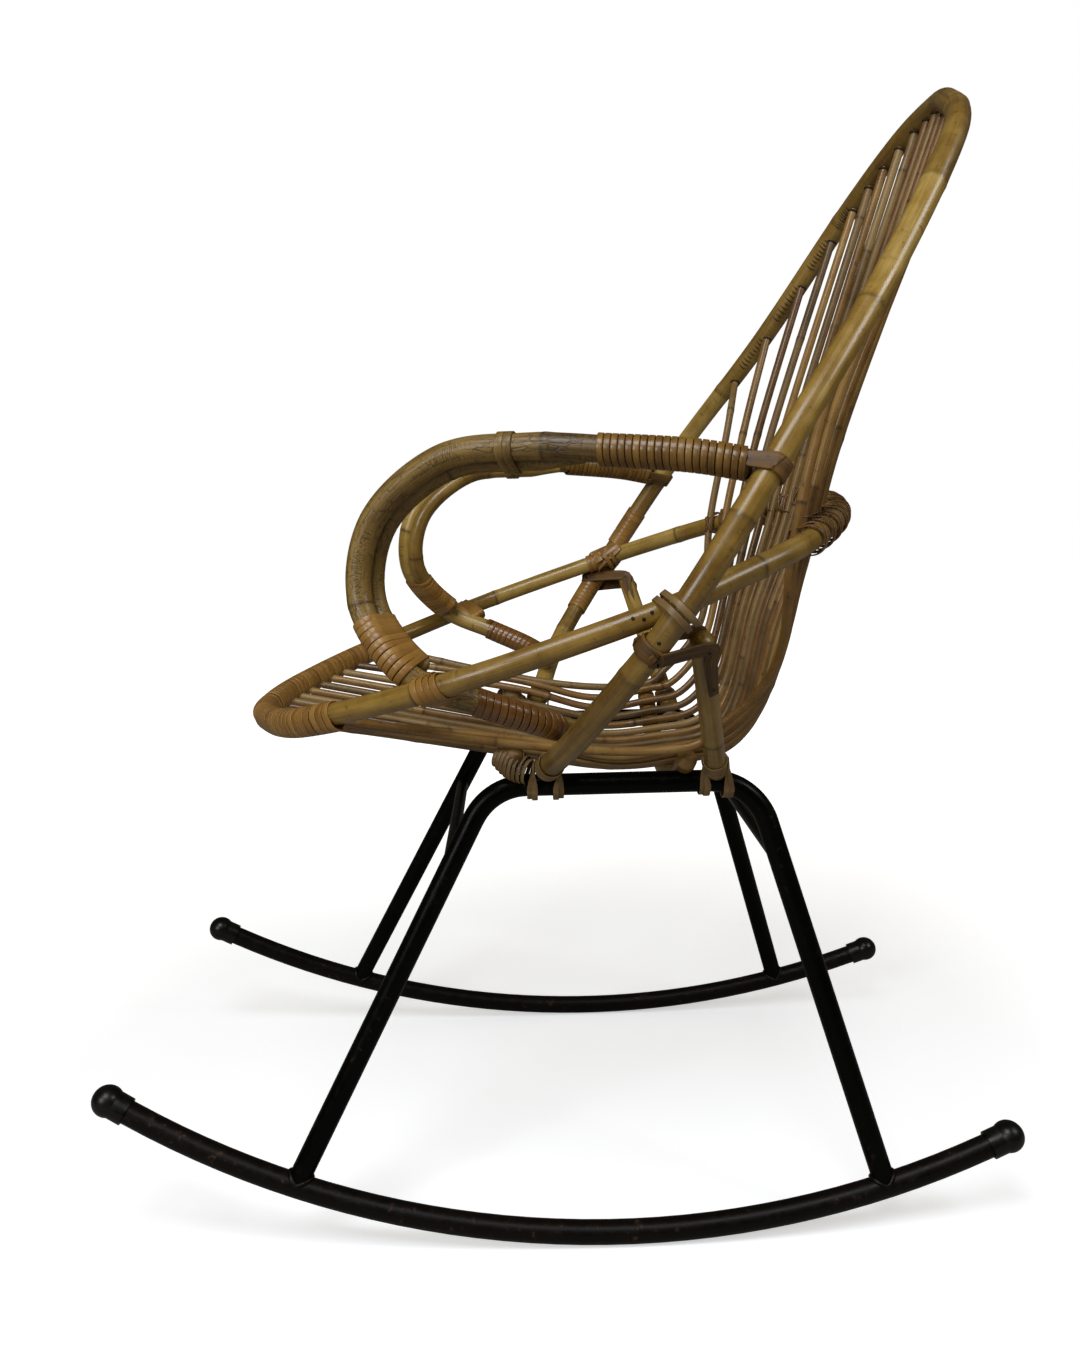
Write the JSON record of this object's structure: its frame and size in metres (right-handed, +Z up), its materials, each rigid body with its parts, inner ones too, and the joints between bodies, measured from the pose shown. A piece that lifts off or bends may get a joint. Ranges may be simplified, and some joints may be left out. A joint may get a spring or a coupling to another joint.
{
  "type": "rattan rocking chair",
  "caption": "Rocking chair with a bent-cane hoop back, seat ring, looped arms and slender seat rods, lashed to a black tube base on two curved rockers.",
  "frame": {"origin": "on the floor, midway between the rockers and midway between the front and rear cap tips", "axes": "+Z up, the chair faces -Y, +X is the chair's left side"},
  "size_m": [0.626, 0.796, 0.9758],
  "materials": {
    "pole_cane": "glossy golden rattan pole",
    "rod_cane": "satin brown rattan rod",
    "binding_cane": "satin flat cane winding",
    "steel": "worn satin black paint",
    "rubber": "glossy black"
  },
  "bodies": {
    "root": {"rocker_left": "steel", "rocker_right": "steel", "leg_hoop_left": "steel", "leg_hoop_right": "steel", "cap_front_left": "rubber", "cap_front_right": "rubber", "cap_rear_left": "rubber", "cap_rear_right": "rubber", "front_stretcher": "steel", "rear_stretcher": "steel", "back_hoop": "pole_cane", "seat_ring": "pole_cane", "arm_left": "pole_cane", "arm_right": "pole_cane", "arm_ply_left": "pole_cane", "arm_ply_right": "pole_cane", "strut_left": "pole_cane", "strut_right": "pole_cane", "front_crossbar": "rod_cane", "rear_crossbar": "rod_cane", "rod_1": "rod_cane", "rod_2": "rod_cane", "rod_3": "rod_cane", "rod_4": "rod_cane", "rod_5": "rod_cane", "rod_6": "rod_cane", "rod_7": "rod_cane", "rod_8": "rod_cane", "rod_9": "rod_cane", "rod_10": "rod_cane", "rod_11": "rod_cane", "rod_12": "rod_cane", "rod_13": "rod_cane", "rod_14": "rod_cane", "rod_15": "rod_cane", "rod_16": "rod_cane", "rod_17": "rod_cane", "rod_18": "rod_cane", "rod_19": "rod_cane", "edge_wrap_left": "binding_cane", "edge_wrap_right": "binding_cane", "arm_wrap_left": "binding_cane", "arm_wrap_right": "binding_cane", "join_wrap_left": "binding_cane", "join_wrap_right": "binding_cane", "low_wrap_left": "binding_cane", "low_wrap_right": "binding_cane", "binding_left": "binding_cane", "binding_right": "binding_cane", "cross_lashing_left": "binding_cane", "cross_lashing_right": "binding_cane", "front_lashing_left": "binding_cane", "front_lashing_right": "binding_cane", "rear_lashing_left": "binding_cane", "rear_lashing_right": "binding_cane", "bar_coil_left": "binding_cane", "bar_coil_right": "binding_cane"}
  },
  "joints": []
}
